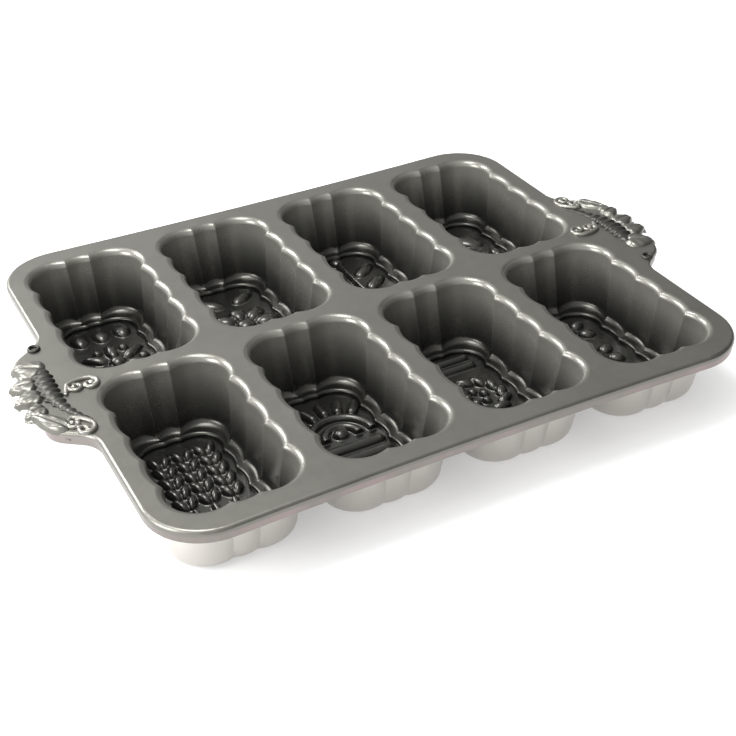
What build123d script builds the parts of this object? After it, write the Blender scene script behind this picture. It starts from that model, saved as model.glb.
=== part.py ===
from build123d import *
import math
import os

os.makedirs("parts", exist_ok=True)

# Lengths are in millimetres. The origin is under the middle of the pan, on the plane the cups
# stand on. X runs along the four columns of cups, Y from the front row to the back row, Z is up.

# Deck
deck_length = 324.0
deck_width = 280.0
deck_top = 42.0
deck_thickness = 3.0
deck_corner_radius = 31.0
long_side_hollow = 3.5
deck_edge_round = 2.0

# Skirt below the edge of the deck
skirt_depth = 6.8
skirt_wall = 2.4
skirt_inset = 0.6

# Cups
column_count = 4
column_pitch = 78.4
row_pitch = 129.5
cup_half_width = 32.0
cup_half_length = 58.5
cup_wall_thickness = 3.0
mouth_radius = 3.2
flange_margin = 0.5
width_draft = 0.10
length_draft = 0.22

# Flutes of a cup, at the level of the deck
corner_lobe_radius = 17.0
side_lobe_radius = 27.0
side_lobe_pitch = 21.2
end_lobe_radius = 14.0
ridge_radius = 1.2

# Floor of a cup
floor_seam = 9.0
ledge_height = 5.4
ledge_width = 3.6
ledge_round = 1.5
panel_ridge_radius = 3.0
panel_seat = 2.0
panel_height = 2.8
crease_radius = 3.2
bottom_radius = 6.0
relief_rise = 3.2
relief_round = 1.1

# Handles
handle_root_half = 52.0
handle_reach = 19.0
handle_tip_half = 33.0
handle_tip_radius = 15.0
handle_root_radius = 14.0
leaf_rise = 2.8
leaf_drop = 3.4
leaf_length = 26.0
leaf_half_width = 8.0
leaf_setback = 9.6
stalk_length = 70.0
tendril_radius = 1.25
curl_radius = 5.6
curl_step = 1.4
curl_rise = 1.9
curl_round = 0.7
boss_rise = 2.4
boss_length = 27.0
boss_width = 10.0

deck_bottom = deck_top - deck_thickness
skirt_bottom = deck_top - skirt_depth
half_length = deck_length / 2
half_width = deck_width / 2
wall_top = deck_top - mouth_radius


def column_x(column):
    return (column - (column_count - 1) / 2) * column_pitch


def cup_half_sizes(height):
    depth = deck_top - height
    return cup_half_width - width_draft * depth, cup_half_length - length_draft * depth


def cup_lobes(height, inset, grow):
    # Circles whose outer arcs form the fluted outline, going round from the right side
    half_x, half_y = cup_half_sizes(height)
    half_x -= inset
    half_y -= inset
    share = half_y / cup_half_length
    side_r = side_lobe_radius * share
    end_r = end_lobe_radius * share
    corner_r = corner_lobe_radius * share
    step = side_lobe_pitch * share
    right = [(half_x - side_r, y * step, side_r + grow) for y in (-1, 0, 1)]
    left = [(side_r - half_x, -y * step, side_r + grow) for y in (-1, 0, 1)]
    corner_x = half_x - corner_r
    corner_y = half_y - corner_r
    back = [
        (corner_x, corner_y, corner_r + grow),
        (0, half_y - end_r, end_r + grow),
        (-corner_x, corner_y, corner_r + grow),
    ]
    front = [(-x, -y, r) for x, y, r in back]
    return right + back + left + front


def ridge_between(first, second, radius):
    # Centre of the small arc that rounds the ridge where two lobes meet
    ax, ay, ar = first
    bx, by, br = second
    ar += radius
    br += radius
    span = math.hypot(bx - ax, by - ay)
    along = (span * span + ar * ar - br * br) / (2 * span)
    across = math.sqrt(ar * ar - along * along)
    ux, uy = (bx - ax) / span, (by - ay) / span
    # The lobes go round to the left, so the outer side is on the right of the way to the next one
    return ax + along * ux + across * uy, ay + along * uy - across * ux


def toward(start, end, distance):
    span = math.hypot(end[0] - start[0], end[1] - start[1])
    return tuple(start[i] + (end[i] - start[i]) * distance / span for i in (0, 1))


def fluted_wire(height, inset=0.0, grow=0.0, ridge=ridge_radius):
    lobes = cup_lobes(height, inset, grow)
    count = len(lobes)
    ridges = [ridge_between(lobes[i], lobes[(i + 1) % count], ridge) for i in range(count)]
    edges = []
    for i, (x, y, r) in enumerate(lobes):
        start = toward((x, y), ridges[i - 1], r)
        end = toward((x, y), ridges[i], r)
        a0 = math.atan2(start[1] - y, start[0] - x)
        a1 = math.atan2(end[1] - y, end[0] - x)
        if a1 < a0:
            a1 += 2 * math.pi
        middle = (x + r * math.cos((a0 + a1) / 2), y + r * math.sin((a0 + a1) / 2))
        after = lobes[(i + 1) % count]
        next_start = toward(after[:2], ridges[i], after[2])
        chord = ((end[0] + next_start[0]) / 2, (end[1] + next_start[1]) / 2)
        crest = toward(ridges[i], chord, ridge)
        edges.append(ThreePointArc((*start, height), (*middle, height), (*end, height)))
        edges.append(ThreePointArc((*end, height), (*crest, height), (*next_start, height)))
    return Wire([e for item in edges for e in item.edges()])


def rounded_rim(top, radius, inset, ridge):
    # What is cut away so that an edge at the top height turns down in a quarter round
    sections = []
    for angle in (0, 22.5, 45, 67.5, 90):
        a = math.radians(angle)
        grow = radius * (1 - math.sin(a))
        height = top - radius * (1 - math.cos(a))
        sections.append(fluted_wire(height, inset, grow, ridge))
    return Solid.make_loft(sections)


def make_cup_wall():
    flange = extrude(
        Plane.XY.offset(deck_bottom)
        * RectangleRounded(
            2 * (cup_half_width + mouth_radius + flange_margin),
            2 * (cup_half_length + mouth_radius + flange_margin),
            corner_lobe_radius + mouth_radius,
        ),
        deck_thickness,
    )
    outside = Solid.make_loft(
        [
            fluted_wire(deck_bottom, grow=cup_wall_thickness),
            fluted_wire(floor_seam, grow=cup_wall_thickness),
        ],
        True,
    )
    inside = Solid.make_loft([fluted_wire(wall_top), fluted_wire(floor_seam)], True)
    return (flange + outside) - inside - rounded_rim(deck_top, mouth_radius, 0, ridge_radius)


def round_sections(radius, base, grow):
    # Outlines down a quarter round that turns from the wall onto a flat at the base height
    sections = [fluted_wire(floor_seam, grow=grow)]
    for angle in (0, 30, 60, 90):
        a = math.radians(angle)
        height = base + radius * (1 - math.sin(a))
        sections.append(fluted_wire(height, inset=radius * (1 - math.cos(a)), grow=grow))
    return sections


def make_blank_floor():
    body = Solid.make_loft(round_sections(bottom_radius, 0, cup_wall_thickness))
    body = body - Solid.make_loft(round_sections(crease_radius, ledge_height, 0))
    body = body - rounded_rim(ledge_height, ledge_round, crease_radius + ledge_width, panel_ridge_radius)
    return body - extrude(panel_face(panel_seat), ledge_height - ledge_round - panel_seat, dir=(0, 0, 1))


def panel_face(height):
    # Outline of the sunk panel, kept upright from its seat to the rounded edge of the ledge
    level = ledge_height - ledge_round
    outline = fluted_wire(level, crease_radius + ledge_width, 0, panel_ridge_radius)
    return Pos(0, 0, height - level) * Face(outline)


def lump(face, rise=relief_rise):
    # A raised shape on the floor panel with a rounded upper edge
    bottom = panel_height - 0.4
    solid = extrude(Plane.XY.offset(bottom) * face, rise + 0.4)
    top = solid.faces().sort_by(Axis.Z)[-1]
    return fillet(top.edges(), relief_round)


def ring_of(face, count, radius, start=0.0):
    places = [start + i * 360 / count for i in range(count)]
    return [Rot(0, 0, a) * (Pos(radius, 0) * face) for a in places]


def bars(length, thickness, heights):
    return [lump(Pos(0, y) * SlotOverall(length, thickness)) for y in heights]


def daisy_relief():
    shapes = [lump(Circle(5.6))]
    shapes += [lump(f) for f in ring_of(Ellipse(6.4, 3.9), 8, 13.0)]
    for x, y in ((-10.5, -31), (10.5, -31), (-10.5, 31), (10.5, 31)):
        tilt = 40 if x * y > 0 else -40
        shapes.append(lump(Pos(x, y) * (Rot(0, 0, tilt) * Ellipse(8.6, 4.2))))
    return shapes


def wreath_relief():
    leaf = Rot(0, 0, 58) * Ellipse(5.4, 2.9)
    shapes = [lump(f) for f in ring_of(leaf, 12, 14.6)]
    shapes += [lump(f) for f in ring_of(Circle(2.4), 5, 5.2)]
    return shapes + bars(30, 5.0, (-37, -29, 29, 37))


def sprig_relief():
    shapes = [lump(Pos(0, -2) * RectangleRounded(3.4, 72, 1.6))]
    for y in (-26, -10, 6, 22):
        for side in (-1, 1):
            leaf = Rot(0, 0, side * 38) * Ellipse(7.8, 4.2)
            shapes.append(lump(Pos(side * 10.8, y) * leaf))
    shapes.append(lump(Pos(0, 37.5) * Ellipse(3.8, 4.2)))
    return shapes


def sunrise_relief():
    # Half rings and rays over level bars
    shapes = [lump(Pos(0, 4) * SlotArc(CenterArc((0, 0), r, 8, 164), 4.0)) for r in (9.0, 16.6)]
    shapes.append(lump(Pos(0, 5.5) * Circle(3.8)))
    for angle in (52, 71, 90, 109, 128):
        ray = Rot(0, 0, angle) * (Pos(26.0, 0) * SlotOverall(12.0, 4.6))
        shapes.append(lump(Pos(0, 4) * ray))
    return shapes + bars(36, 5.4, (-5, -14, -23)) + bars(24, 5.4, (-32,))


def star_relief():
    shapes = [lump(Circle(4.4))]
    shapes += [lump(f) for f in ring_of(SlotOverall(12.0, 5.4), 6, 13.0, 30)]
    shapes += [lump(f) for f in ring_of(Circle(2.4), 6, 14.4)]
    for y in (-31, 31):
        shapes += [lump(Pos(x, y) * Ellipse(4.4, 6.4)) for x in (-12.5, 0, 12.5)]
    return shapes


def heart_relief():
    shapes = []
    for turn in (0, 180):
        for side in (-1, 1):
            half = Pos(side * 6.6, 22) * (Rot(0, 0, side * 38) * Ellipse(5.6, 11.5))
            shapes.append(lump(Rot(0, 0, turn) * half))
    return shapes + [lump(Pos(x, 0) * Ellipse(3.0, 5.4)) for x in (-15.5, -7.8, 0, 7.8, 15.5)]


def wheat_relief():
    shapes = []
    for x, lean in ((-11.5, 8), (0, 0), (11.5, -8)):
        stem = Rot(0, 0, lean) * RectangleRounded(2.8, 26, 1.3)
        shapes.append(lump(Pos(x * 0.7, -24) * stem))
        for step in range(5):
            for side in (-1, 1):
                grain = Rot(0, 0, 90 - side * 24) * SlotOverall(8.6, 4.2)
                shapes.append(lump(Pos(x + side * 3.0, -5 + 9.2 * step) * grain))
    return shapes


def bud_relief():
    shapes = []
    for y in (-28, 0, 28):
        shapes.append(lump(Pos(0, y) * Circle(4.0)))
        shapes += [lump(Pos(0, y) * f) for f in ring_of(Ellipse(4.0, 3.3), 6, 9.6, 30)]
    return shapes


def make_cup_relief(shapes):
    # A thin plate in the sunk panel that carries the raised shapes
    plate = extrude(panel_face(panel_seat), panel_height - panel_seat, dir=(0, 0, 1))
    return plate + shapes


def deck_face():
    front = ThreePointArc((-half_length, -half_width), (0, -half_width + long_side_hollow),
                          (half_length, -half_width))
    right = Line((half_length, -half_width), (half_length, half_width))
    back = ThreePointArc((half_length, half_width), (0, half_width - long_side_hollow),
                         (-half_length, half_width))
    left = Line((-half_length, half_width), (-half_length, -half_width))
    face = make_face([front, right, back, left])
    return fillet(face.vertices(), deck_corner_radius)


def handle_face():
    inner = half_length - 6
    outer = half_length + handle_reach
    corners = [(inner, -handle_root_half), (outer, -handle_tip_half),
               (outer, handle_tip_half), (inner, handle_root_half)]
    face = make_face(Polyline(corners, close=True))
    tips = [v for v in face.vertices() if v.X > half_length]
    return fillet(tips, handle_tip_radius)


def full_face():
    face = deck_face() + handle_face() + Rot(0, 0, 180) * handle_face()
    joints = [v for v in face.vertices()
              if abs(abs(v.X) - half_length) < 0.01 and abs(v.Y) < handle_root_half + 1]
    return fillet(joints, handle_root_radius)


def make_top_plate():
    plate = extrude(Plane.XY.offset(deck_bottom) * full_face(), deck_thickness)
    top = plate.faces().sort_by(Axis.Z)[-1]
    return fillet(top.edges(), deck_edge_round)


def make_deck(plate):
    body = plate & Pos(0, 0, deck_top) * Box(deck_length, 2 * deck_width, 4 * deck_thickness)
    hole = RectangleRounded(
        2 * (cup_half_width + mouth_radius + flange_margin),
        2 * (cup_half_length + mouth_radius + flange_margin),
        corner_lobe_radius + mouth_radius,
    )
    for x, y, _ in cup_places():
        body = body - extrude(Pos(x, y, deck_bottom) * hole, deck_thickness)
    return body


def make_skirt():
    outer = offset(deck_face(), -skirt_inset)
    inner = offset(deck_face(), -skirt_inset - skirt_wall)
    ring = extrude(Plane.XY.offset(skirt_bottom) * (outer - inner), deck_bottom - skirt_bottom)
    return ring


def make_handle(plate):
    tab = plate & Pos(half_length + 50, 0, deck_top) * Box(100, 2 * deck_width, 4 * deck_thickness)
    below = offset(full_face(), -skirt_inset) - offset(deck_face(), -skirt_inset)
    below = below & Pos(half_length + 49, 0) * Rectangle(100, deck_width)
    grip = extrude(Plane.XY.offset(skirt_bottom) * below, deck_bottom - skirt_bottom)
    return tab + grip


def leaf_wire(length, half, height):
    side_a = ThreePointArc((0, 0, height), (length * 0.45, half, height), (length, 0, height))
    side_b = ThreePointArc((length, 0, height), (length * 0.45, -half, height), (0, 0, height))
    return Wire([*side_a.edges(), *side_b.edges()])


def make_leaf(length, half):
    blade = Solid.make_loft(
        [leaf_wire(length, half, deck_top - leaf_drop), leaf_wire(length, half, deck_top)], True)
    keel = Solid.make_loft(
        [leaf_wire(length, half, deck_top), leaf_wire(length * 0.92, half * 0.14, deck_top + leaf_rise)],
        True)
    return blade + keel


def make_leaf_spray(handle):
    # Pointed leaves fanned round the outer edge of the handle
    spray = None
    for tip_x, tip_y, turn in ((19, -32, -42), (25.5, -14, -16), (28, 1, 0), (25.5, 21, 22), (14.5, 41, 48)):
        a = math.radians(turn)
        base_x = half_length + tip_x - leaf_length * math.cos(a)
        base_y = tip_y - leaf_length * math.sin(a)
        leaf = Pos(base_x, base_y, 0) * (Rot(0, 0, turn) * make_leaf(leaf_length, leaf_half_width))
        spray = leaf if spray is None else spray + leaf
    stalk = Pos(half_length + leaf_setback + 2, 2) * RectangleRounded(3.4, stalk_length, 1.6)
    stalk = Plane.XY.offset(deck_top) * stalk
    beyond = Pos(half_length + leaf_setback + 50, 0, deck_top) * Box(100, 200, 40)
    spray = ((spray + extrude(stalk, 1.6)) & beyond) - handle
    # The rounded edge of the handle cuts off a small crumb, which is left out
    return max(spray.solids(), key=lambda solid: solid.volume)


def spot_at(centre, radius, angle):
    a = math.radians(angle)
    return centre[0] + radius * math.cos(a), centre[1] + radius * math.sin(a)


def make_scroll(centre, start, lead):
    # A curled tendril: a straight lead in, then three half turns, each tighter than the last
    width = 2 * tendril_radius
    begin = spot_at(centre, curl_radius, start)
    middle = spot_at(begin, lead / 2, start - 90)
    face = Pos(*middle) * (Rot(0, 0, start + 90) * SlotOverall(lead + width, width))
    radius = curl_radius
    angle = start
    for _ in range(3):
        face = face + Pos(*centre) * SlotArc(CenterArc((0, 0), radius, angle, 180), width)
        angle += 180
        centre = spot_at(centre, curl_step, angle)
        radius -= curl_step
    body = extrude(Pos(half_length, 0, deck_top) * face, curl_rise)
    top = body.faces().sort_by(Axis.Z)[-1]
    return fillet(top.edges(), curl_round)


def make_scrolls():
    # One curl reaches in over the deck, the other lies along the root of the handle
    return make_scroll((-10.5, 5.0), -14, 6.5) + make_scroll((-0.8, 41.0), 14, 10.0)


def make_boss():
    # A long ribbed boss between the curls and the leaves
    outline = Pos(half_length + 3.6, -4.5) * Ellipse(boss_width / 2, boss_length / 2)
    oval = extrude(Plane.XY.offset(deck_top) * outline, boss_rise)
    top = oval.faces().sort_by(Axis.Z)[-1]
    oval = fillet(top.edges(), boss_rise * 0.6)
    for rib in (-2, -1, 0, 1, 2):
        y = -4.5 + rib * boss_length / 6.4
        groove = Pos(half_length + 3.6, y, deck_top + boss_rise + 0.3) * Rot(0, 90, 0) * Cylinder(1.0, 20)
        oval = oval - groove
    return oval


def cup_places():
    for row, side in (("front", -1), ("back", 1)):
        for column in range(column_count):
            yield column_x(column), side * row_pitch / 2, f"{row}_{column + 1}"


def save(shape, name):
    shape.label = name
    export_step(shape, f"parts/{name}.step")


def main():
    plate = make_top_plate()
    save(make_deck(plate), "deck_plate")
    save(make_skirt(), "rim_skirt")

    handle = make_handle(plate)
    boss = make_boss()
    scrolls = make_scrolls()
    leaves = make_leaf_spray(handle)
    for name, turn in (("right", 0), ("left", 180)):
        spin = Rot(0, 0, turn)
        save(spin * handle, f"handle_{name}")
        save(spin * leaves, f"leaf_spray_{name}")
        save(spin * scrolls, f"scrolls_{name}")
        save(spin * boss, f"ribbed_boss_{name}")

    wall = make_cup_wall()
    floor = make_blank_floor()
    reliefs = [wheat_relief, sunrise_relief, wreath_relief, bud_relief,
               star_relief, daisy_relief, sprig_relief, heart_relief]
    for (x, y, name), relief in zip(cup_places(), reliefs):
        save(Pos(x, y, 0) * wall, f"cup_wall_{name}")
        save(Pos(x, y, 0) * floor, f"cup_floor_{name}")
        save(Pos(x, y, 0) * make_cup_relief(relief()), f"cup_relief_{name}")


main()
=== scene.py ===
import math

import bpy
from bpy.props import FloatProperty, FloatVectorProperty, PointerProperty
from mathutils import Matrix, Vector


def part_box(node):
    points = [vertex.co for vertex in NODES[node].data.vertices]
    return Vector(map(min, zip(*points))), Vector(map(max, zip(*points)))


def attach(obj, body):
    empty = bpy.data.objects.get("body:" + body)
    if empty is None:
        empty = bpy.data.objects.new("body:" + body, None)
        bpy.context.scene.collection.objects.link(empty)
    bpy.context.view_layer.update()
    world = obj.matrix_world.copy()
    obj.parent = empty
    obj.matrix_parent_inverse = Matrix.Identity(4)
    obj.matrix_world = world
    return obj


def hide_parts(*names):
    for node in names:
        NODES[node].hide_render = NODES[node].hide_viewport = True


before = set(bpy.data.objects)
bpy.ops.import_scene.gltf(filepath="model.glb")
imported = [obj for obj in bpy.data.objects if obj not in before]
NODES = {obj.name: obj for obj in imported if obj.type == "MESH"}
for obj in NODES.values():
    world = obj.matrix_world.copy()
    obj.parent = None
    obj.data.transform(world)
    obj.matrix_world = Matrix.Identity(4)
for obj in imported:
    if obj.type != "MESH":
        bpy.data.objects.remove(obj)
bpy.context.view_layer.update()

bl_info = {
    "name": "Fluted cakelet pan",
    "version": (1, 0, 0),
    "blender": (4, 5, 0),
    "location": "View3D > Sidebar > Cakelet pan",
    "description": "Dresses a cast pan of eight fluted cakelet cups and its leafy handles",
    "category": "Object",
}

MM = 0.001
DECK_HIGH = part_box("deck_plate")[1]
CUP_NAMES = [f"{row}_{column}" for row in ("front", "back") for column in (1, 2, 3, 4)]


class PanSizes(bpy.types.PropertyGroup):
    """Sizes of the pieces that are modelled over the casting."""

    deck_top: FloatProperty(
        name="Deck height", description="Height of the flat deck above the table",
        default=DECK_HIGH.z, unit="LENGTH")
    half_length: FloatProperty(
        name="Deck half length", description="From the middle of the pan to the root of a handle",
        default=DECK_HIGH.x, unit="LENGTH")
    panel_height: FloatProperty(
        name="Panel height", description="Height of the sunk panel in the floor of a cup",
        default=0.0028, unit="LENGTH")
    relief_rise: FloatProperty(
        name="Relief rise", description="How far the raised shapes stand above the panel",
        default=0.0038, unit="LENGTH")
    relief_grain: FloatProperty(
        name="Relief grain", description="Size of the cells that blend the raised shapes together",
        default=0.00045, unit="LENGTH")
    leaf_rise: FloatProperty(
        name="Leaf rise", description="How far a leaf stands above the deck",
        default=0.0024, unit="LENGTH")
    handle_grain: FloatProperty(
        name="Handle grain", description="Size of the cells that blend the leaves and curls",
        default=0.0004, unit="LENGTH")
    tendril_radius: FloatProperty(
        name="Tendril radius", description="Radius of the curled tendrils",
        default=0.0015, unit="LENGTH")


class PanFinish(bpy.types.PropertyGroup):
    """Colours and gloss of the casting's finishes."""

    coating_dark: FloatVectorProperty(
        name="Coating, dark", description="Darker tone of the release coating",
        subtype="COLOR", default=(0.150, 0.1475, 0.131), min=0.0, max=1.0)
    coating_light: FloatVectorProperty(
        name="Coating, light", description="Lighter tone of the release coating",
        subtype="COLOR", default=(0.235, 0.2305, 0.206), min=0.0, max=1.0)
    casting_dark: FloatVectorProperty(
        name="Casting, dark", description="Darker tone of the plain outside of the casting",
        subtype="COLOR", default=(0.135, 0.122, 0.115), min=0.0, max=1.0)
    casting_light: FloatVectorProperty(
        name="Casting, light", description="Lighter tone of the plain outside of the casting",
        subtype="COLOR", default=(0.245, 0.228, 0.215), min=0.0, max=1.0)
    deck_roughness: FloatProperty(
        name="Deck roughness", description="Gloss of the coating on the deck",
        default=0.33, min=0.0, max=1.0, subtype="FACTOR")
    lining_roughness: FloatProperty(
        name="Lining roughness", description="Gloss of the coating inside the cups",
        default=0.25, min=0.0, max=1.0, subtype="FACTOR")
    casting_roughness: FloatProperty(
        name="Casting roughness", description="Gloss of the plain outside",
        default=0.40, min=0.0, max=1.0, subtype="FACTOR")


class StageSettings(bpy.types.PropertyGroup):
    """The floor, the lights and the camera."""

    floor_colour: FloatVectorProperty(
        name="Floor colour", description="Colour of the plain floor",
        subtype="COLOR", default=(0.62, 0.62, 0.62), min=0.0, max=1.0)
    floor_glow: FloatProperty(
        name="Floor glow", description="Light of the floor itself, which keeps shadows faint",
        default=0.34)
    surround_low: FloatProperty(
        name="Surround, dim side", description="Strength of the light all round, on its dim side",
        default=0.19)
    surround_high: FloatProperty(
        name="Surround, bright side", description="Strength of the light all round, to the back left",
        default=1.8)
    overhead_power: FloatProperty(
        name="Overhead light", description="Power of the soft light above", default=9.0,
        unit="POWER")
    back_power: FloatProperty(
        name="Back light", description="Power of the soft light behind and to the left",
        default=17.0, unit="POWER")
    left_power: FloatProperty(
        name="Left light", description="Power of the broad light from the left", default=21.0,
        unit="POWER")
    lens: FloatProperty(
        name="Lens", description="Focal length of the camera in millimetres on a 36 mm sensor",
        default=64.24)


class Link:
    """The output of a node, which takes part in sums and products."""

    def __init__(self, finish, socket):
        self.finish = finish
        self.socket = socket

    def maths(self, operation, first, second):
        return self.finish.node(
            "ShaderNodeMath", {"operation": operation}, {0: first, 1: second})

    def __add__(self, other):
        return self.maths("ADD", self, other)

    def __radd__(self, other):
        return self.maths("ADD", other, self)

    def __sub__(self, other):
        return self.maths("SUBTRACT", self, other)

    def __rsub__(self, other):
        return self.maths("SUBTRACT", other, self)

    def __mul__(self, other):
        return self.maths("MULTIPLY", self, other)

    def __rmul__(self, other):
        return self.maths("MULTIPLY", other, self)

    def __truediv__(self, other):
        return self.maths("DIVIDE", self, other)

    def __rtruediv__(self, other):
        return self.maths("DIVIDE", other, self)


class Finish:
    """A material being made, with one way to add a node."""

    def __init__(self, name):
        self.material = bpy.data.materials.new(name)
        self.material.use_nodes = True
        self.tree = self.material.node_tree
        self.shader = self.tree.nodes["Principled BSDF"]

    def node(self, kind, settings, values, output=0):
        made = self.tree.nodes.new(kind)
        for key, value in settings.items():
            if key == "stops":
                ramp = made.color_ramp
                while len(ramp.elements) < len(value):
                    ramp.elements.new(1.0)
                for element, (place, tone) in zip(ramp.elements, value):
                    element.position = place
                    element.color = (tone, tone, tone, 1.0)
            else:
                setattr(made, key, value)
        for key, value in values.items():
            if isinstance(value, Link):
                self.tree.links.new(value.socket, made.inputs[key])
            else:
                made.inputs[key].default_value = value
        return Link(self, made.outputs[output])

    def feed(self, name, value):
        if isinstance(value, Link):
            self.tree.links.new(value.socket, self.shader.inputs[name])
        else:
            self.shader.inputs[name].default_value = value

    def place(self):
        return self.node("ShaderNodeTexCoord", {}, {}, "Object")

    def clouds(self, place, scale, detail=3.0, roughness=0.5):
        """Soft patches; scale is how many of them there are to the metre."""
        return self.node(
            "ShaderNodeTexNoise", {},
            {"Vector": place, "Scale": scale, "Detail": detail, "Roughness": roughness}, "Fac")

    def grains(self, place, scale):
        """Distance from scattered points, small inside a grain."""
        return self.node("ShaderNodeTexVoronoi", {}, {"Vector": place, "Scale": scale}, "Distance")

    def ramp(self, value, *stops):
        return self.node("ShaderNodeValToRGB", {"stops": stops}, {"Fac": value}, "Color")

    def blend(self, share, first, second):
        first = (*first, 1.0) if isinstance(first, tuple) else first
        second = (*second, 1.0) if isinstance(second, tuple) else second
        return self.node(
            "ShaderNodeMix", {"data_type": "RGBA", "clamp_factor": True},
            {0: share, 6: first, 7: second}, 2)

    def bump(self, height, distance, strength=1.0, normal=None):
        values = {"Height": height, "Distance": distance, "Strength": strength}
        if normal is not None:
            values["Normal"] = normal
        return self.node("ShaderNodeBump", {}, values, "Normal")


def shaded(colour, shade):
    return tuple(c * shade for c in colour)


def coating(name, roughness, shade, metallic, coat=0.0, painted_bottom_shade=None):
    """Dark release coating over cast metal, sprayed on and lightly grained.

    The bottom shade, where it is given, is the shade and the metallic share at the bottom of a cup;
    it is painted shade, which darkens the colour towards the bottom of the cup.
    """
    looks = bpy.context.scene.pan_finish
    fleck_share = 0.08
    fleck_shade = 1.9
    made = Finish(name)
    at = made.place()
    patches = made.clouds(at, 22.0, 3.0, 0.55)
    mottle = made.clouds(at, 160.0, 4.0, 0.6)
    speck = made.clouds(at, 1500.0, 2.0, 0.6)
    fleck = made.ramp(made.grains(at, 900.0), (0.0, 1.0), (0.16, 0.0))
    dark = shaded(looks.coating_dark, shade)
    light = shaded(looks.coating_light, shade)
    share = patches * 0.45 + mottle * 0.3 + speck * 0.5 - 0.12
    tone = made.blend(share, dark, light)
    tone = made.blend(fleck * fleck_share, tone, shaded(light, fleck_shade))
    # Painted shade: the colour darkens from high on the walls to the bottom of the cup, where shade
    # falls.
    if painted_bottom_shade:
        bottom_shade_factor, bottom_metallic = painted_bottom_shade
        sizes = bpy.context.scene.pan_sizes
        height = made.node("ShaderNodeSeparateXYZ", {}, {"Vector": at}, "Z") / sizes.deck_top
        depth = made.ramp(height, (0.10, 1.0), (0.80, 0.0))
        tone = made.blend(depth, tone, shaded(looks.coating_dark, bottom_shade_factor))
        metallic = depth * (bottom_metallic - metallic) + metallic
    made.feed("Base Color", tone)
    made.feed("Metallic", metallic)
    made.feed("Roughness", patches * 0.10 + mottle * 0.08 + speck * 0.06 + (roughness - 0.12))
    made.feed("Coat Weight", coat)
    made.feed("Coat Roughness", 0.18)
    pebble = made.bump(made.clouds(at, 420.0, 3.0, 0.5), 0.00010, 0.35)
    made.feed("Normal", made.bump(speck, 0.00004, 0.5, pebble))
    return made.material


def plain_casting(name, shade=1.0):
    """The outside of the casting: satin metal with faint flow marks, blushes and grain."""
    looks = bpy.context.scene.pan_finish
    rosy = (0.27, 0.205, 0.205)
    rosy_share = 0.6
    made = Finish(name)
    at = made.place()
    flow = made.node(
        "ShaderNodeMapping", {"vector_type": "POINT"},
        {"Vector": at, "Scale": (1.0, 1.0, 0.35)}, "Vector")
    patches = made.clouds(flow, 26.0, 4.0, 0.6)
    mottle = made.clouds(flow, 190.0, 4.0, 0.6)
    speck = made.clouds(at, 1300.0, 2.0, 0.6)
    share = patches * 0.7 + mottle * 0.35 + speck * 0.2 - 0.15
    tone = made.blend(
        share, shaded(looks.casting_dark, shade), shaded(looks.casting_light, shade))
    blush = made.ramp(made.clouds(at, 34.0, 2.0, 0.5), (0.42, 0.0), (0.70, 1.0))
    tone = made.blend(blush * rosy_share, tone, shaded(rosy, shade))
    made.feed("Base Color", tone)
    made.feed("Metallic", 0.96)
    made.feed("Roughness", patches * 0.14 + mottle * 0.10 + (looks.casting_roughness - 0.12))
    pebble = made.bump(made.clouds(at, 380.0, 3.0, 0.55), 0.00014, 0.4)
    made.feed("Normal", made.bump(speck, 0.00005, 0.5, pebble))
    return made.material


def floor_finish(name):
    """Plain pale paper of the stage."""
    made = Finish(name)
    stage = bpy.context.scene.pan_stage
    at = made.place()
    fibre = made.clouds(at, 900.0, 3.0, 0.6)
    tone = tuple(stage.floor_colour)
    made.feed("Base Color", made.blend(fibre, shaded(tone, 0.985), tone))
    made.feed("Roughness", 0.85)
    made.feed("Emission Color", (1.0, 1.0, 1.0, 1.0))
    made.feed("Emission Strength", stage.floor_glow)
    return made.material


def finish_named(name, maker):
    """The material of that name, made by the maker the first time it is asked for."""
    return bpy.data.materials.get(name) or maker(name)


def deck_coating():
    """The coating as it lies on the deck."""
    roughness = bpy.context.scene.pan_finish.deck_roughness
    return finish_named(
        "deck_coating", lambda name: coating(name, roughness, shade=0.85, metallic=0.88))


def cup_lining():
    """The coating inside the cups, with painted shade that darkens it towards the bottom."""
    roughness = bpy.context.scene.pan_finish.lining_roughness
    return finish_named(
        "cup_lining",
        lambda name: coating(name, roughness, shade=0.80, metallic=0.52, painted_bottom_shade=(0.24, 0.92)))


def relief_lining():
    """The coating on the raised shapes of the cup floors, in a dark copy that paints in the shade at
    the bottom of the cups.
    """
    roughness = bpy.context.scene.pan_finish.lining_roughness + 0.01
    return finish_named(
        "relief_lining",
        lambda name: coating(name, roughness, shade=0.24, metallic=0.85, coat=0.2))


def handle_coating():
    """The coating on the leaves of the handles, painted a little darker than the deck as shade."""
    roughness = bpy.context.scene.pan_finish.deck_roughness - 0.02
    return finish_named(
        "handle_coating", lambda name: coating(name, roughness, shade=0.72, metallic=0.82))


def curl_coating():
    """The coating on the curls, painted lighter than the deck as a highlight."""
    roughness = bpy.context.scene.pan_finish.deck_roughness - 0.02
    return finish_named(
        "curl_coating", lambda name: coating(name, roughness, shade=1.05, metallic=0.8))


def barrel_coating():
    """The coating on the ribbed boss, painted dark as the shade that falls between its ribs."""
    roughness = bpy.context.scene.pan_finish.deck_roughness
    return finish_named(
        "barrel_coating", lambda name: coating(name, roughness, shade=0.22, metallic=0.85))


def bare_casting():
    return finish_named("bare_casting", plain_casting)


# The plain outside, painted a little lighter for the skirt and the undersides of the handles, as
# light falling on them.
def rim_casting():
    return finish_named("rim_casting", lambda name: plain_casting(name, shade=1.1))


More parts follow.
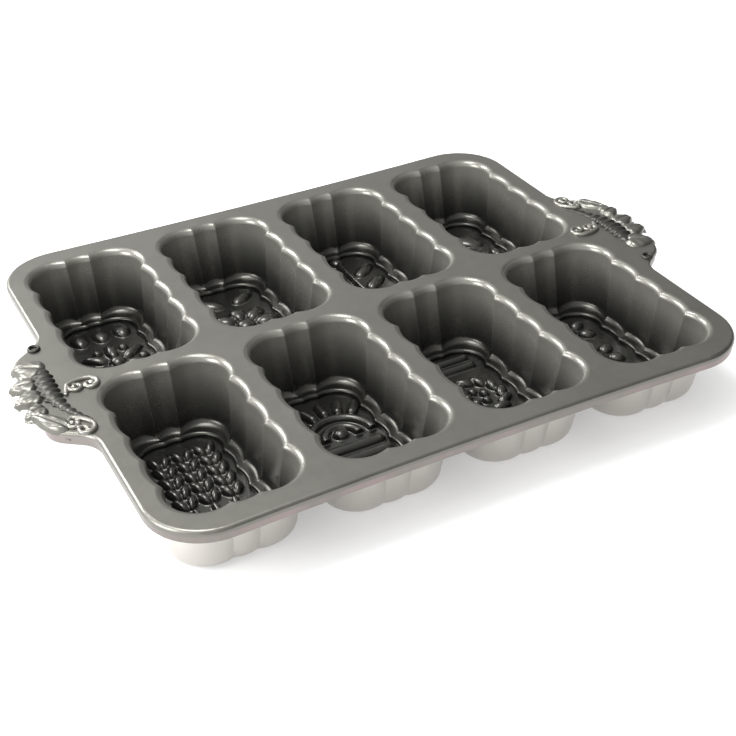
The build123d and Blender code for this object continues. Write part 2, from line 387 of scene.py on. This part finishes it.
def select_only(piece):
    """Selects a piece alone and makes it the active one."""
    bpy.ops.object.select_all(action="DESELECT")
    piece.select_set(True)
    bpy.context.view_layer.objects.active = piece


def paint(piece, materials, chooser):
    """Gives a piece its materials; the chooser says which one a face takes."""
    piece.data.materials.clear()
    for material in materials:
        piece.data.materials.append(material)
    for face in piece.data.polygons:
        face.material_index = chooser(face)


def settle(piece):
    """Applies a piece's place, turn and size to its mesh."""
    select_only(piece)
    bpy.ops.object.transform_apply(location=True, rotation=True, scale=True)
    return piece


def join(pieces, name):
    """Makes one piece of several, under a name."""
    bpy.ops.object.select_all(action="DESELECT")
    for piece in pieces:
        piece.select_set(True)
    bpy.context.view_layer.objects.active = pieces[0]
    bpy.ops.object.join()
    pieces[0].name = name
    pieces[0].data.name = name
    return pieces[0]


def apply_modifier(piece, kind, **settings):
    """Adds a modifier with its settings and applies it at once."""
    select_only(piece)
    made = piece.modifiers.new(kind.title(), kind)
    for key, value in settings.items():
        setattr(made, key, value)
    bpy.ops.object.modifier_apply(modifier=made.name)


def cast_together(piece, grain, smooth, keep):
    """Blends overlapping closed shapes into one skin with soft inner corners, as cast metal has."""
    apply_modifier(piece, "REMESH", mode="VOXEL", voxel_size=grain, adaptivity=0.0)
    apply_modifier(piece, "SMOOTH", factor=0.5, iterations=smooth)
    apply_modifier(piece, "DECIMATE", ratio=keep)
    select_only(piece)
    bpy.ops.object.shade_smooth()
    return piece


def lump(x, y, z, length, width, rise, turn=0.0, taper=0.0):
    """One rounded raised shape, narrowed towards its far end by the taper."""
    bpy.ops.object.select_all(action="DESELECT")
    bpy.ops.mesh.primitive_uv_sphere_add(segments=28, ring_count=14, radius=1.0)
    made = bpy.context.object
    for corner in made.data.vertices:
        corner.co.y *= 1.0 - taper * (0.5 + 0.5 * corner.co.x)
    made.scale = (length / 2, width / 2, rise)
    made.rotation_euler = (0.0, 0.0, math.radians(turn))
    made.location = (x, y, z)
    return settle(made)


def bar(x, y, z, length, width, rise, turn=0.0):
    """A round-ended bar: a ball whose halves are drawn apart."""
    bpy.ops.object.select_all(action="DESELECT")
    bpy.ops.mesh.primitive_uv_sphere_add(segments=24, ring_count=12, radius=1.0)
    made = bpy.context.object
    spread = max(0.0, length / width - 1.0)
    for corner in made.data.vertices:
        if abs(corner.co.x) > 1e-4:
            corner.co.x += math.copysign(spread, corner.co.x)
    made.scale = (width / 2, width / 2, rise)
    made.rotation_euler = (0.0, 0.0, math.radians(turn))
    made.location = (x, y, z)
    return settle(made)


def hoop(x, y, z, radius, width, rise, low=None):
    """A raised ring, cut off below a level line when one is given."""
    bpy.ops.object.select_all(action="DESELECT")
    bpy.ops.mesh.primitive_torus_add(
        major_segments=56, minor_segments=14, major_radius=radius, minor_radius=width / 2)
    made = bpy.context.object
    made.scale = (1.0, 1.0, 2.0 * rise / width)
    made.location = (x, y, z)
    settle(made)
    if low is not None:
        bpy.ops.object.mode_set(mode="EDIT")
        bpy.ops.mesh.select_all(action="SELECT")
        bpy.ops.mesh.bisect(
            plane_co=(0.0, low, 0.0), plane_no=(0.0, 1.0, 0.0), use_fill=True, clear_inner=True)
        bpy.ops.object.mode_set(mode="OBJECT")
    return made


def ring_places(count, radius, start=0.0):
    """Places evenly round a circle, each with its angle in degrees."""
    for i in range(count):
        a = start + 360.0 * i / count
        yield radius * math.cos(math.radians(a)), radius * math.sin(math.radians(a)), a


def daisy(base, rise):
    """A flower of eight broad petals with a leaf towards each corner."""
    shapes = [lump(0, 0, base, 12 * MM, 12 * MM, rise * 1.1)]
    for x, y, a in ring_places(8, 13.2 * MM):
        shapes.append(lump(x, y, base, 14.5 * MM, 9.2 * MM, rise, a, -0.25))
    for x, y in ((-10.5, -31), (10.5, -31), (-10.5, 31), (10.5, 31)):
        tilt = 40 if x * y > 0 else -40
        shapes.append(lump(x * MM, y * MM, base, 19 * MM, 10 * MM, rise * 0.9, tilt))
    return shapes


def wreath(base, rise):
    """A ring of leaves round five berries, with two bars above and below."""
    shapes = [hoop(0, 0, base, 14.4 * MM, 2.6 * MM, rise * 0.55)]
    for x, y, a in ring_places(12, 14.6 * MM):
        shapes.append(lump(x, y, base, 11.6 * MM, 6.6 * MM, rise, a + 58, 0.2))
    for x, y, a in ring_places(5, 5.4 * MM, 18):
        shapes.append(lump(x, y, base, 5.8 * MM, 5.8 * MM, rise * 0.9))
    for y in (-37, -29, 29, 37):
        shapes.append(bar(0, y * MM, base, 32 * MM, 5.8 * MM, rise * 0.8))
    return shapes


def sprig(base, rise):
    """A straight stem with pairs of leaves and a bud at its end."""
    shapes = [bar(0, -2 * MM, base, 76 * MM, 4.4 * MM, rise * 0.9, 90)]
    for y in (-26, -10, 6, 22):
        for side in (-1, 1):
            shapes.append(
                lump(side * 11 * MM, y * MM, base, 18.5 * MM, 10 * MM, rise,
                     38 if side > 0 else 142, 0.25))
    shapes.append(lump(0, 38 * MM, base, 9 * MM, 10 * MM, rise))
    return shapes


def sunrise(base, rise):
    """Two arches and rays over level bars."""
    shapes = [
        hoop(0, 4 * MM, base, r * MM, 5.4 * MM, rise * 0.9, 4 * MM) for r in (9.4, 17.2)
    ]
    shapes.append(lump(0, 7 * MM, base, 9 * MM, 8 * MM, rise))
    for angle in (52, 71, 90, 109, 128):
        a = math.radians(angle)
        shapes.append(
            bar(26 * math.cos(a) * MM, (4 + 26 * math.sin(a)) * MM, base, 13 * MM, 6.0 * MM,
                rise, angle))
    for y, width in ((-5, 38), (-14, 38), (-23, 38), (-32, 27)):
        shapes.append(bar(0, y * MM, base, width * MM, 6.6 * MM, rise * 0.85))
    return shapes


def star(base, rise):
    """A flower of six narrow petals between two rows of three buds."""
    shapes = [lump(0, 0, base, 10 * MM, 10 * MM, rise * 1.1)]
    for x, y, a in ring_places(6, 12.6 * MM, 30):
        shapes.append(lump(x, y, base, 16 * MM, 8.4 * MM, rise, a, 0.35))
    for x, y, a in ring_places(6, 15.4 * MM):
        shapes.append(lump(x, y, base, 6 * MM, 6 * MM, rise * 0.8))
    for y in (-31, 31):
        for x in (-12.5, 0, 12.5):
            shapes.append(lump(x * MM, y * MM, base, 10 * MM, 14.5 * MM, rise))
    return shapes


def hearts(base, rise):
    """Two hearts, each of two slanted lobes, with a row of beads between them."""
    shapes = []
    for turn in (-1, 1):
        for side in (-1, 1):
            shapes.append(
                lump(side * 6.4 * MM, turn * 22 * MM, base, 24 * MM, 12.6 * MM, rise,
                     90 + turn * side * 38))
    for x in (-15.5, -7.8, 0, 7.8, 15.5):
        shapes.append(lump(x * MM, 0, base, 7 * MM, 12.6 * MM, rise * 0.9))
    return shapes


def wheat(base, rise):
    """Three ears of grain on stalks."""
    shapes = []
    for x, lean in ((-12, 8), (0, 0), (12, -8)):
        shapes.append(bar(x * 0.7 * MM, -26 * MM, base, 28 * MM, 4.0 * MM, rise * 0.8, 90 + lean))
        for step in range(5):
            for side in (-1, 1):
                shapes.append(
                    lump((x + side * 3.1) * MM, (-6 + 9.2 * step) * MM, base, 11 * MM, 5.8 * MM,
                         rise, 90 - side * 24, 0.2))
    return shapes


def buds(base, rise):
    """Three small flowers one above the other."""
    shapes = []
    for y in (-28, 0, 28):
        shapes.append(lump(0, y * MM, base, 9.4 * MM, 9.4 * MM, rise * 1.1))
        for x, dy, a in ring_places(6, 10.2 * MM, 30):
            shapes.append(lump(x, y * MM + dy, base, 10.4 * MM, 8.2 * MM, rise, a))
    return shapes


RELIEFS = (wheat, sunrise, wreath, buds, star, daisy, sprig, hearts)
RELIEF_SINK = 0.1 * MM
PLATE_DEPTH = 0.8 * MM
PLATE_SLICE = 0.00002
PLATE_MERGE = 0.00001
PLATE_STRETCH = (1.016, 1.008, 1.0, 1.0)


def relief_plate(name, middle):
    """The thin plate under the raised shapes of a cup floor, cut from its node.

    It is moved to the origin and stretched a little, so that its edge stays tucked in.
    """
    sizes = bpy.context.scene.pan_sizes
    plate = bpy.data.objects.new(name, NODES[f"cup_relief_{name}"].data.copy())
    bpy.context.scene.collection.objects.link(plate)
    select_only(plate)
    bpy.ops.object.mode_set(mode="EDIT")
    bpy.ops.mesh.select_all(action="SELECT")
    bpy.ops.mesh.remove_doubles(threshold=PLATE_MERGE)
    bpy.ops.mesh.bisect(
        plane_co=(0, 0, sizes.panel_height - PLATE_SLICE), plane_no=(0, 0, 1), use_fill=True,
        clear_outer=True)
    bpy.ops.object.mode_set(mode="OBJECT")
    bpy.ops.mesh.customdata_custom_splitnormals_clear()
    plate.data.transform(Matrix.Translation((-middle.x, -middle.y, 0.0)))
    plate.data.transform(Matrix.Diagonal(PLATE_STRETCH))
    return plate


def cup_middle(name):
    """The middle of the box round the floor of a cup."""
    low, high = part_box(f"cup_floor_{name}")
    return (low + high) / 2


class PAN_OT_deck(bpy.types.Operator):
    """Finish the deck and the skirt below its edge"""

    bl_idname = "pan.deck"
    bl_label = "Finish deck"

    def execute(self, context):
        paint(NODES["deck_plate"], (deck_coating(), bare_casting()),
              lambda face: 1 if face.normal.z < -0.2 else 0)
        paint(NODES["rim_skirt"], (rim_casting(),), lambda face: 0)
        for side in ("left", "right"):
            paint(NODES[f"handle_{side}"], (deck_coating(), rim_casting()),
                  lambda face: 0 if face.normal.z > 0.3 else 1)
        return {"FINISHED"}


def cup_side(middle):
    """A chooser of finishes: 0 for the inside of a cup, 1 for its outside, 2 for level faces."""
    def chooser(face):
        away = face.center - middle
        away.z = 0.0
        if face.normal.z < -0.3:
            return 1
        if face.normal.z > 0.9:
            return 2
        return 1 if face.normal.dot(away) > 0.0 else 0
    return chooser


class PAN_OT_cups(bpy.types.Operator):
    """Finish the walls and the floors of the cups, lining inside and plain metal outside"""

    bl_idname = "pan.cups"
    bl_label = "Finish cups"

    def execute(self, context):
        for name in CUP_NAMES:
            for part, level_finish in (("wall", deck_coating()), ("floor", cup_lining())):
                finishes = (cup_lining(), bare_casting(), level_finish)
                paint(NODES[f"cup_{part}_{name}"], finishes, cup_side(cup_middle(name)))
        return {"FINISHED"}


class PAN_OT_reliefs(bpy.types.Operator):
    """Model the raised shapes on the floors of the cups"""

    bl_idname = "pan.reliefs"
    bl_label = "Model cup reliefs"

    def execute(self, context):
        sizes = context.scene.pan_sizes
        for name, relief in zip(CUP_NAMES, RELIEFS):
            middle = cup_middle(name)
            base = sizes.panel_height - RELIEF_SINK
            plate = relief_plate(name, middle)
            piece = join([plate, *relief(base, sizes.relief_rise)], f"floor_relief_{name}")
            for corner in piece.data.vertices:
                corner.co.z = max(corner.co.z, sizes.panel_height - PLATE_DEPTH)
            cast_together(piece, sizes.relief_grain, smooth=3, keep=0.4)
            piece.data.transform(Matrix.Translation((middle.x, middle.y, 0.0)))
            paint(piece, (relief_lining(),), lambda face: 0)
            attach(piece, "root")
            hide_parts(f"cup_relief_{name}")
        return {"FINISHED"}


LEAF_THICKNESS = 0.0042
LEAF_ROLL = 0.0030
LEAF_SINK = 0.0030
LEAF_WIDEST = 0.35


def leaf(tip_x, tip_y, turn, length, half):
    """One blunt leaf with a sunk midrib, side veins and rolled edges, its tip at the given place."""
    sizes = bpy.context.scene.pan_sizes
    bpy.ops.object.select_all(action="DESELECT")
    bpy.ops.mesh.primitive_grid_add(x_subdivisions=40, y_subdivisions=24, size=2.0)
    made = bpy.context.object
    for corner in made.data.vertices:
        along = 0.5 + 0.5 * corner.co.x
        across = corner.co.y
        if along < LEAF_WIDEST:
            spread = 0.5 + 0.5 * math.sin(math.pi * along / (2 * LEAF_WIDEST))
        else:
            spread = 1.0 - ((along - LEAF_WIDEST) / (1.0 - LEAF_WIDEST)) ** 1.8
        side = abs(across)
        crown = (1.0 - 0.55 * side ** 2) * (0.7 + 0.3 * math.sin(math.pi * along ** 0.7))
        midrib = 0.5 * math.exp(-((across / 0.12) ** 2)) * (1.0 - along) ** 0.35
        vein = 0.16 * math.cos(2 * math.pi * (3.5 * along - 1.5 * side)) * side * (1.2 - side)
        roll = LEAF_ROLL * max(side ** 7, along ** 9)
        sunk = LEAF_SINK * max(0.0, 1.0 - along / 0.22) ** 1.5
        height = sizes.leaf_rise * (crown - midrib + vein) - roll - sunk
        corner.co = ((along - 1.0) * length, across * spread * half, height)
    made.rotation_euler = (0.0, 0.0, math.radians(turn))
    made.location = (sizes.half_length + tip_x, tip_y, sizes.deck_top)
    settle(made)
    apply_modifier(
        made, "SOLIDIFY", thickness=LEAF_THICKNESS, offset=-1.0, use_even_offset=False)
    return made


def ribbed_strip(points, widths, ribs, rise):
    """A strip through the points, as wide as the widths say and crossed by rounded ribs."""
    sizes = bpy.context.scene.pan_sizes
    steps = 150
    rib_depth = 0.15
    curve = bpy.data.curves.new("ribbed_strip", "CURVE")
    curve.dimensions = "3D"
    spline = curve.splines.new("POLY")
    spline.points.add(steps)
    for i in range(steps + 1):
        at = i / steps * (len(points) - 1)
        first = min(int(at), len(points) - 2)
        part = at - first
        path = [Vector(points[max(0, min(len(points) - 1, first + k))]) for k in (-1, 0, 1, 2)]
        place = (path[1] + (path[2] - path[0]) * part * 0.5
                 + (path[0] * 2 - path[1] * 5 + path[2] * 4 - path[3]) * part ** 2 * 0.5
                 + (path[1] * 3 - path[2] * 3 + path[3] - path[0]) * part ** 3 * 0.5)
        width = widths[first] * (1 - part) + widths[first + 1] * part
        rib = 1.0 - rib_depth + rib_depth * math.cos(2 * math.pi * ribs * i / steps)
        spline.points[i].co = (sizes.half_length + place.x * MM, place.y * MM, 0.0, 1.0)
        spline.points[i].radius = width * rib / 2
    curve.bevel_depth = MM
    curve.bevel_resolution = 6
    curve.use_fill_caps = True
    made = bpy.data.objects.new("ribbed_strip", curve)
    bpy.context.scene.collection.objects.link(made)
    select_only(made)
    bpy.ops.object.convert(target="MESH")
    made = bpy.context.object
    made.scale = (1.0, 1.0, rise / (max(widths) / 2 * MM))
    made.location = (0.0, 0.0, sizes.deck_top)
    return settle(made)


TENDRIL_LIFT = 0.0004
BEAD_RISE = 0.0019


def tendril(points, radius, taper):
    """A round strand through the points, thinner at its far end, which closes in a bead."""
    sizes = bpy.context.scene.pan_sizes
    curve = bpy.data.curves.new("tendril", "CURVE")
    curve.dimensions = "3D"
    spline = curve.splines.new("NURBS")
    spline.points.add(len(points) - 1)
    for i, (x, y) in enumerate(points):
        share = i / (len(points) - 1)
        spline.points[i].co = (
            sizes.half_length + x * MM, y * MM, sizes.deck_top + TENDRIL_LIFT, 1.0)
        spline.points[i].radius = 1.0 - taper * share
    spline.order_u = 4
    spline.use_endpoint_u = True
    spline.resolution_u = 8
    curve.bevel_depth = radius
    curve.bevel_resolution = 4
    curve.use_fill_caps = True
    made = bpy.data.objects.new("tendril", curve)
    bpy.context.scene.collection.objects.link(made)
    select_only(made)
    bpy.ops.object.convert(target="MESH")
    made = bpy.context.object
    x, y = points[-1]
    bead = 2.3 * radius
    tip = lump(sizes.half_length + x * MM, y * MM, sizes.deck_top, bead, bead, BEAD_RISE)
    return join([made, tip], "tendril")


def placed(points, x, y, turn):
    """The points of a curl, turned and moved to a new place."""
    c, s = math.cos(math.radians(turn)), math.sin(math.radians(turn))
    return [(x + c * px - s * py, y + s * px + c * py) for px, py in points]


# Points along the outer and the inner strand of a curl, and the places, in millimetres
# from the root of a handle. A curl has its place and its turn, a leaf its tip, its turn,
# its length and half its width.
HOOK = [(0, 0), (-3, -1.6), (-7, -2.4), (-11.5, -2.2), (-14.8, 0.4), (-15.2, 4.4), (-12.4, 7.4),
        (-8.8, 6.6), (-7.9, 3.2), (-10.2, 1.4), (-12.0, 3.2)]
EYE = [(0.4, -0.4), (0.6, 2.6), (-1.0, 5.6), (-4.2, 6.6), (-6.4, 4.6), (-5.8, 1.6), (-3.2, 1.0),
       (-2.6, 3.2)]
CURLS = ((-0.6, 1.0, 0.0), (5.0, 29.0, -58.0))
LEAD = [(2.6, 9.0), (0.6, 6.5), (1.8, 3.6), (-0.6, 1.0)]
LEAVES = ((23.0, 14.5, -57, 28, 5.6), (25.6, 17.0, 14, 13, 6.4), (27.4, 4.0, 6, 16, 7.2),
          (26.4, -10.0, -5, 15.5, 7.2), (20.6, -27.5, -30, 19, 8.8))
BARREL = [(6.0, -21.0), (8.2, -12.0), (8.8, -2.0), (8.0, 8.0), (5.6, 18.0), (1.6, 27.0),
          (-3.0, 34.0)]
BARREL_WIDTHS = (4.0, 11.4, 12.2, 10.6, 6.2, 4.2, 2.2)
BARREL_RIBS = 12
BARREL_RISE = 2.8 * MM
STUD_PLACE = (4.5 * MM, -40 * MM)


class PAN_OT_handles(bpy.types.Operator):
    """Model the leaves, the curls and the ribbed boss of both handles"""

    bl_idname = "pan.handles"
    bl_label = "Model handles"

    def execute(self, context):
        sizes = context.scene.pan_sizes

        leaves = [
            leaf(x * MM, y * MM, turn, length * MM, half * MM)
            for x, y, turn, length, half in LEAVES
        ]
        spray = join(leaves, "leaves_right")

        strands = []
        for x, y, turn in CURLS:
            strands.append(tendril(placed(HOOK, x, y, turn), sizes.tendril_radius, 0.25))
            strands.append(tendril(placed(EYE, x, y, turn), sizes.tendril_radius * 0.9, 0.25))
        strands.append(tendril(LEAD, sizes.tendril_radius * 0.8, 0.0))
        curls = join(strands, "curls_right")

        barrel = ribbed_strip(BARREL, BARREL_WIDTHS, BARREL_RIBS, BARREL_RISE)
        stud_x, stud_y = STUD_PLACE
        stud = hoop(
            sizes.half_length + stud_x, stud_y, sizes.deck_top, 2.6 * MM, 1.9 * MM, 1.5 * MM)
        boss = join([barrel, stud], "ribbed_barrel_right")

        for piece, keep, node, finish in (
                (spray, 0.5, "leaf_spray", handle_coating()),
                (curls, 0.5, "scrolls", curl_coating()),
                (boss, 0.6, "ribbed_boss", barrel_coating())):
            cast_together(piece, sizes.handle_grain, 4, keep)
            paint(piece, (finish,), lambda face: 0)
            other = bpy.data.objects.new(piece.name.replace("right", "left"), piece.data.copy())
            context.scene.collection.objects.link(other)
            other.data.transform(Matrix.Rotation(math.pi, 4, "Z"))
            for made, side in ((piece, "right"), (other, "left")):
                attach(made, "root")
                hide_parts(f"{node}_{side}")
        return {"FINISHED"}


def lamp(name, place, length, width, power):
    """A soft rectangular light that looks at the middle of the pan."""
    light = bpy.data.lights.new(name, "AREA")
    light.shape = "RECTANGLE"
    light.size = length
    light.size_y = width
    light.energy = power
    made = bpy.data.objects.new(name, light)
    bpy.context.scene.collection.objects.link(made)
    made.location = place
    made.rotation_euler = (-Vector(place)).to_track_quat("-Z", "Y").to_euler()


FLOOR_SIZE = 8.0
FLOOR_HEIGHT = -0.0002
BRIGHT_SIDE = (-0.93, 0.20, 0.30)
BRIGHT_FADE = (-0.7, 0.8)
CAMERA_PLACE = (-0.271996, -0.547255, 0.411370)
CAMERA_RIGHT = Vector((0.88365109, -0.46760003, -0.02260437))
CAMERA_ABOVE = Vector((0.27873213, 0.48671471, 0.82789926))
CAMERA_AHEAD = Vector((0.37612384, 0.73787466, -0.56042114))


class PAN_OT_stage(bpy.types.Operator):
    """Set the plain floor, the soft light and the camera"""

    bl_idname = "pan.stage"
    bl_label = "Set the stage"

    def execute(self, context):
        stage = context.scene.pan_stage
        bpy.ops.object.select_all(action="DESELECT")
        bpy.ops.mesh.primitive_plane_add(size=FLOOR_SIZE, location=(0.0, 0.0, FLOOR_HEIGHT))
        floor = bpy.context.object
        floor.name = "paper_floor"
        floor.data.materials.append(finish_named("paper", floor_finish))

        world = bpy.data.worlds.new("Soft surround")
        world.use_nodes = True
        context.scene.world = world
        tree = world.node_tree
        facing = tree.nodes.new("ShaderNodeVectorMath")
        facing.operation = "DOT_PRODUCT"
        facing.inputs[1].default_value = BRIGHT_SIDE
        level = tree.nodes.new("ShaderNodeMapRange")
        level.interpolation_type = "SMOOTHSTEP"
        level.inputs["From Min"].default_value, level.inputs["From Max"].default_value = BRIGHT_FADE
        level.inputs["To Min"].default_value = stage.surround_low
        level.inputs["To Max"].default_value = stage.surround_high
        tree.nodes["Background"].inputs["Color"].default_value = (1.0, 1.0, 1.0, 1.0)
        around = tree.nodes.new("ShaderNodeTexCoord")
        tree.links.new(around.outputs["Generated"], facing.inputs[0])
        tree.links.new(facing.outputs["Value"], level.inputs["Value"])
        tree.links.new(level.outputs["Result"], tree.nodes["Background"].inputs["Strength"])

        lamp("Overhead", (-0.25, 0.10, 1.1), 0.5, 0.35, stage.overhead_power)
        lamp("Back left", (-0.62, 1.10, 0.85), 0.8, 0.5, stage.back_power)
        lamp("Left", (-1.35, -0.05, 0.75), 0.8, 0.8, stage.left_power)

        camera = bpy.data.cameras.new("Camera")
        camera.sensor_fit = "HORIZONTAL"
        camera.sensor_width = 36.0
        camera.lens = stage.lens
        camera.clip_start = 0.01
        camera.clip_end = 50.0
        made = bpy.data.objects.new("Camera", camera)
        context.scene.collection.objects.link(made)
        turn = Matrix((CAMERA_RIGHT, CAMERA_ABOVE, -CAMERA_AHEAD)).transposed().to_4x4()
        made.matrix_world = Matrix.Translation(CAMERA_PLACE) @ turn
        context.scene.camera = made

        context.scene.view_settings.view_transform = "Standard"
        context.scene.view_settings.look = "None"
        return {"FINISHED"}


class PAN_PT_sidebar(bpy.types.Panel):
    """The pan's steps, in the order they are made"""

    bl_label = "Cakelet pan"
    bl_space_type = "VIEW_3D"
    bl_region_type = "UI"
    bl_category = "Cakelet pan"

    def draw(self, context):
        column = self.layout.column(align=True)
        for step in STEPS:
            column.operator(step.bl_idname)


STEPS = (PAN_OT_stage, PAN_OT_deck, PAN_OT_cups, PAN_OT_reliefs, PAN_OT_handles)
SETTINGS = (("pan_sizes", PanSizes), ("pan_finish", PanFinish), ("pan_stage", StageSettings))


def register():
    for name, group in SETTINGS:
        bpy.utils.register_class(group)
        setattr(bpy.types.Scene, name, PointerProperty(type=group))
    for step in STEPS:
        bpy.utils.register_class(step)
    bpy.utils.register_class(PAN_PT_sidebar)


def unregister():
    bpy.utils.unregister_class(PAN_PT_sidebar)
    for step in reversed(STEPS):
        bpy.utils.unregister_class(step)
    for name, group in reversed(SETTINGS):
        delattr(bpy.types.Scene, name)
        bpy.utils.unregister_class(group)


def main():
    register()
    bpy.ops.pan.stage()
    bpy.ops.pan.deck()
    bpy.ops.pan.cups()
    bpy.ops.pan.reliefs()
    bpy.ops.pan.handles()


if __name__ == "__main__":
    main()
